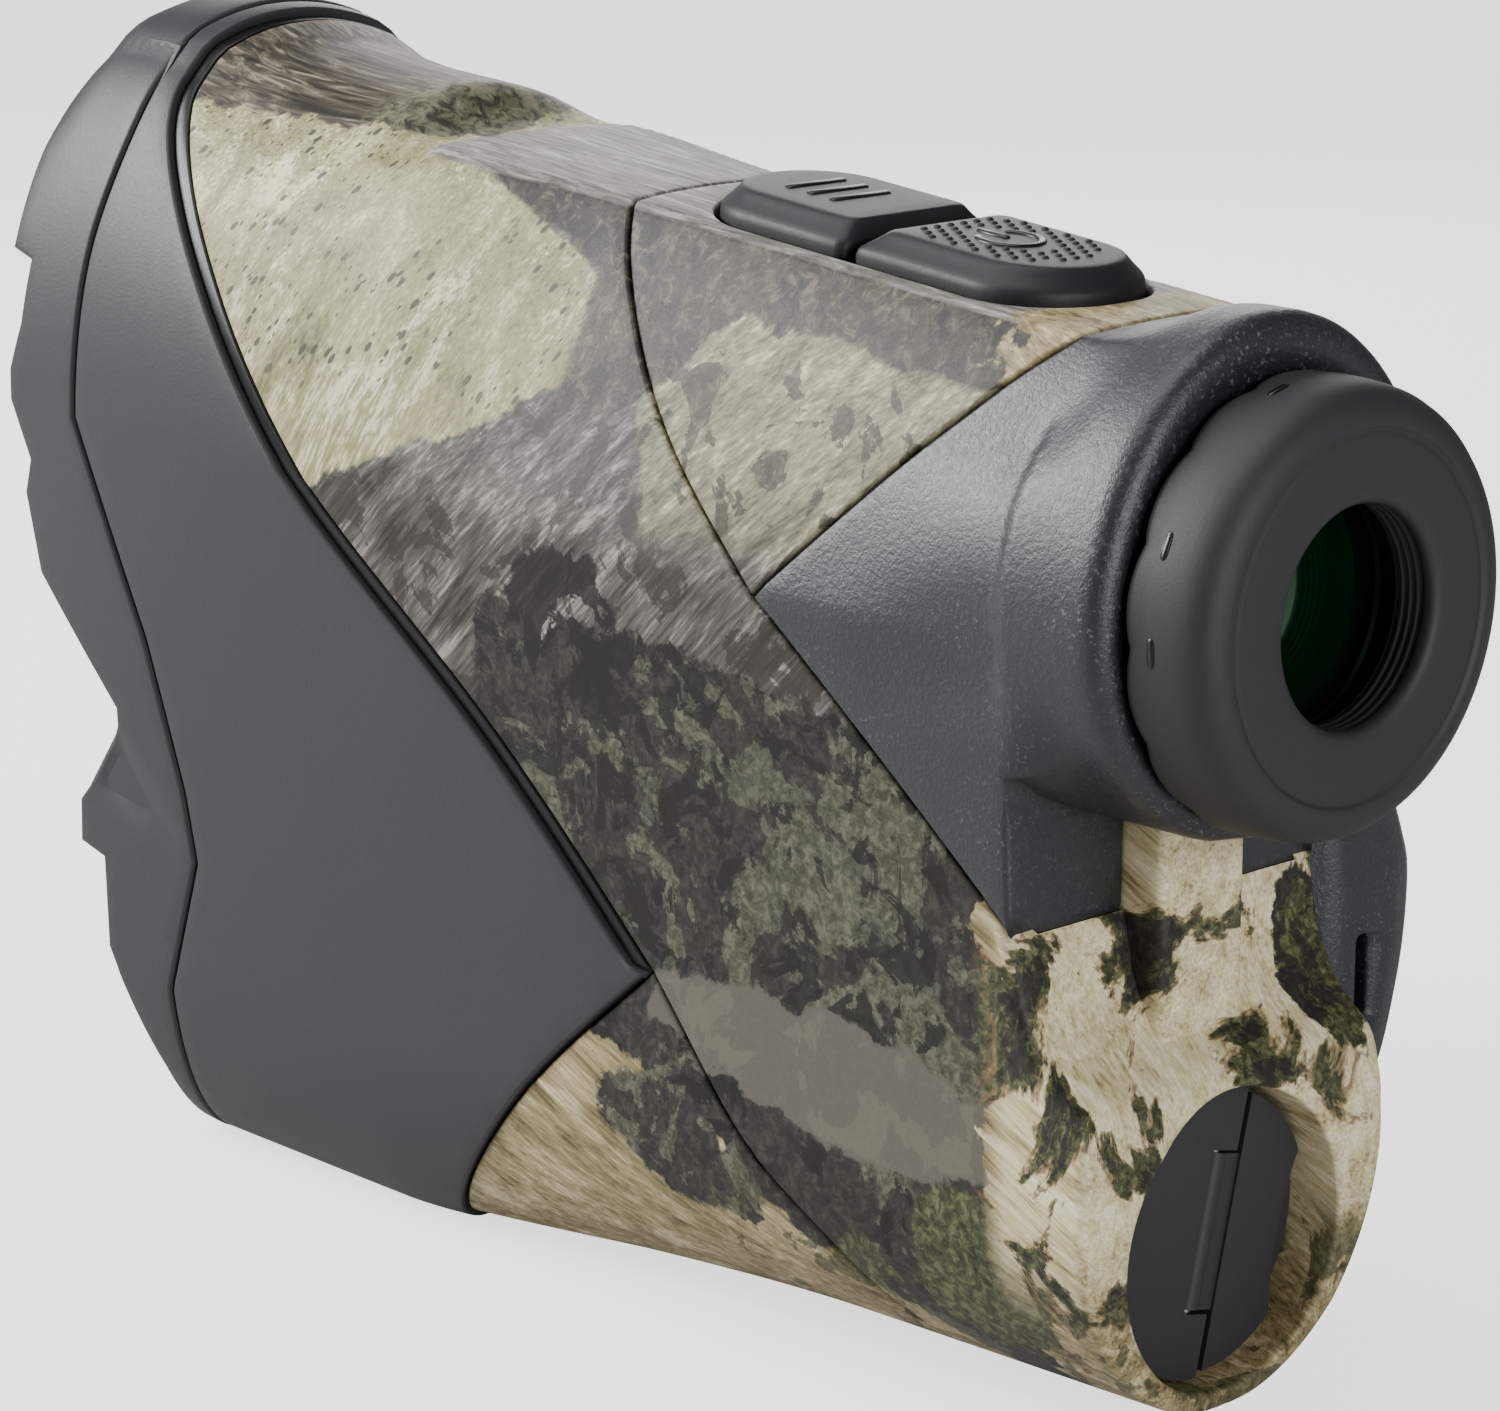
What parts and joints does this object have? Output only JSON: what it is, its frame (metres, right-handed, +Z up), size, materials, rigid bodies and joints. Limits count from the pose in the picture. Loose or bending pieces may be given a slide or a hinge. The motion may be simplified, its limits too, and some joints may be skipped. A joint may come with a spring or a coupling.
{
  "type": "laser rangefinder",
  "caption": "Upright hand-held monocular laser rangefinder with an adjustable eyepiece, top keys, a threaded battery cap and a tripod socket.",
  "frame": {"origin": "centre of the tripod socket's mouth in the base", "axes": "+Z up, +Y forward towards the target, +X to the user's right"},
  "size_m": [0.0448, 0.1209, 0.0872],
  "materials": {
    "camo_shell": "satin moulded plastic with a printed woodland camouflage film",
    "dark_shell": "fine-grained satin dark grey plastic",
    "rubber_armour": "finely textured dark grey rubber",
    "eyecup_rubber": "matt black rubber, ribbed",
    "key_rubber": "soft grey rubber with a moulded relief",
    "gasket_rubber": "smooth black rubber",
    "cap_plastic": "fine-grained dark plastic",
    "steel": "plain steel",
    "nickel_contact": "nickel-plated spring metal",
    "brass_insert": "machined brass",
    "black_metal": "black anodised, matt",
    "optical_glass": "coated optical glass",
    "cell_wrap": "printed battery sleeve",
    "circuit_board": "green solder mask",
    "chip_black": "moulded component bodies",
    "chassis_plastic": "glass-filled black plastic"
  },
  "bodies": {
    "housing": {"main_housing": "camo_shell", "rear_top_cover": "camo_shell", "base_cover": "camo_shell", "front_bezel": "dark_shell", "grip_panel": "dark_shell", "panel_gasket": "gasket_rubber", "eyepiece_shroud": "rubber_armour", "palm_grip": "rubber_armour", "tripod_insert": "brass_insert", "chamber_contact": "nickel_contact", "eyepiece_tube": "black_metal", "ocular_seal": "gasket_rubber", "key_board": "circuit_board", "key_switches": "chip_black", "objective_barrel": "black_metal", "objective_lens": "optical_glass", "objective_retainer": "black_metal", "emitter_barrel": "black_metal", "emitter_lens": "optical_glass", "emitter_retainer": "black_metal", "laser_diode": "nickel_contact", "diode_holder": "black_metal", "prism_holder": "chassis_plastic", "roof_prism": "optical_glass", "erecting_prism": "optical_glass", "display_glass": "optical_glass", "display_holder": "chassis_plastic", "receiver_module": "black_metal", "main_board": "circuit_board", "board_components": "chip_black", "chassis": "chassis_plastic", "chassis_screws": "steel"},
    "mode_button": {"mode_key": "key_rubber"},
    "power_button": {"power_key": "key_rubber"},
    "diopter": {"diopter_ring": "black_metal", "eyecup": "eyecup_rubber"},
    "ocular": {"ocular_cell": "black_metal", "eye_lens": "optical_glass", "field_lens": "optical_glass"},
    "cap_guide": {"cap_contact": "nickel_contact"},
    "cap_thread": {"cap_seal": "gasket_rubber"},
    "cap": {"battery_cap": "cap_plastic", "cap_tab_pin": "steel"},
    "tab": {"cap_tab": "cap_plastic"},
    "cell": {"battery": "cell_wrap"}
  },
  "joints": [
    {"name": "mode_press", "type": "slide", "parent": "housing", "child": "mode_button", "axis": [0, 0.0936, -0.9956], "range_m": [0, 0.0008], "stiffness_N_per_m": 1200, "springref_m": -0.0003},
    {"name": "power_press", "type": "slide", "parent": "housing", "child": "power_button", "axis": [0, 0.0936, -0.9956], "range_m": [0, 0.0008], "stiffness_N_per_m": 1200, "springref_m": -0.0003},
    {"name": "diopter_turn", "type": "hinge", "parent": "housing", "child": "diopter", "pos_m": [0, -0.06, 0.0571], "axis": [0, 1, 0], "range_deg": [-60, 60]},
    {"name": "ocular_travel", "type": "slide", "parent": "housing", "child": "ocular", "axis": [0, 1, 0], "range_m": [-0.0015, 0.0015]},
    {"name": "cap_removal", "type": "slide", "parent": "housing", "child": "cap_guide", "axis": [0, -1, 0], "range_m": [0, 0.045]},
    {"name": "battery_slide", "type": "slide", "parent": "housing", "child": "cell", "axis": [0, -1, 0], "range_m": [0, 0.027]},
    {"name": "cap_thread_travel", "type": "slide", "parent": "cap_guide", "child": "cap_thread", "axis": [0, -1, 0], "range_m": [0, 0.002]},
    {"name": "cap_turn", "type": "hinge", "parent": "cap_thread", "child": "cap", "pos_m": [0, -0.05, 0.013], "axis": [0, -1, 0], "range_deg": [0, 720]},
    {"name": "cap_tab_fold", "type": "hinge", "parent": "cap", "child": "tab", "pos_m": [0.00029, -0.05335, 0.01293], "axis": [-0.2334, 0, -0.9724], "range_deg": [0, 90]}
  ],
  "couplings": [
    {"joint": "ocular_travel", "follows": "diopter_turn", "m_per_rad": 0.00143},
    {"joint": "cap_thread_travel", "follows": "cap_turn", "m_per_rad": 0.00015915},
    {"joint": "battery_slide", "follows": "cap_removal", "ratio": 0.6}
  ]
}
